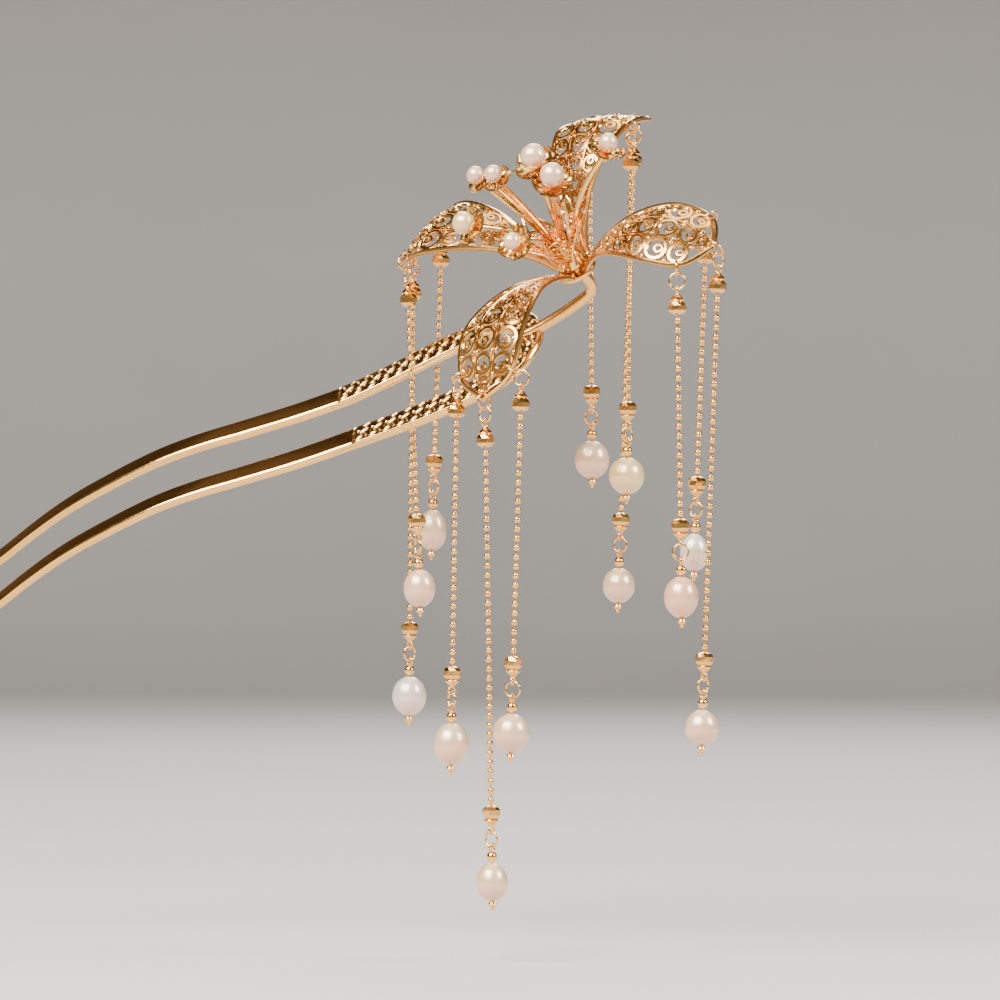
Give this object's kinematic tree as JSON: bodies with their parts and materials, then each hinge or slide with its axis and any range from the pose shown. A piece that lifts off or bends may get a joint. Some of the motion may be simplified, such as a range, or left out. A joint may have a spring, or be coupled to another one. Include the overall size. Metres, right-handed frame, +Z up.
{
  "type": "buyao hairpin",
  "caption": "Two-pronged hair stick with an openwork flower on a curved neck, pearl-tipped stamens and hanging ball-chain tassels that end in pearls; the prongs slide into gathered hair.",
  "frame": {"origin": "midway between the two prongs where the hair grips them", "axes": "+X along the pin towards the flower, seen from above; +Z up as worn, so that the tassels hang along -Z"},
  "size_m": [0.1565, 0.0473, 0.1285],
  "materials": {
    "gold": "polished warm rose-gold plating",
    "pearl": "soft lustre of freshwater pearl"
  },
  "bodies": {
    "root": {"hairpin": "gold", "stamens": "gold", "petal_right": "gold", "petal_back": "gold", "petal_left": "gold", "petal_front": "gold", "fittings_a": "gold", "fittings_b": "gold", "fittings_c": "gold", "fittings_d": "gold", "fittings_e": "gold", "fittings_f": "gold", "fittings_g": "gold", "fittings_h": "gold", "fittings_i": "gold", "fittings_j": "gold", "fittings_k": "gold", "fittings_l": "gold", "chain_a": "gold", "chain_b": "gold", "chain_c": "gold", "chain_d": "gold", "chain_e": "gold", "chain_f": "gold", "chain_g": "gold", "chain_h": "gold", "chain_i": "gold", "chain_j": "gold", "chain_k": "gold", "chain_l": "gold", "stamen_pearl_1": "pearl", "stamen_pearl_2": "pearl", "stamen_pearl_3": "pearl", "stamen_pearl_4": "pearl", "stamen_pearl_5": "pearl", "stamen_pearl_6": "pearl", "stamen_pearl_7": "pearl", "pearl_a": "pearl", "pearl_b": "pearl", "pearl_c": "pearl", "pearl_d": "pearl", "pearl_e": "pearl", "pearl_f": "pearl", "pearl_g": "pearl", "pearl_h": "pearl", "pearl_i": "pearl", "pearl_j": "pearl", "pearl_k": "pearl", "pearl_l": "pearl"}
  },
  "joints": []
}
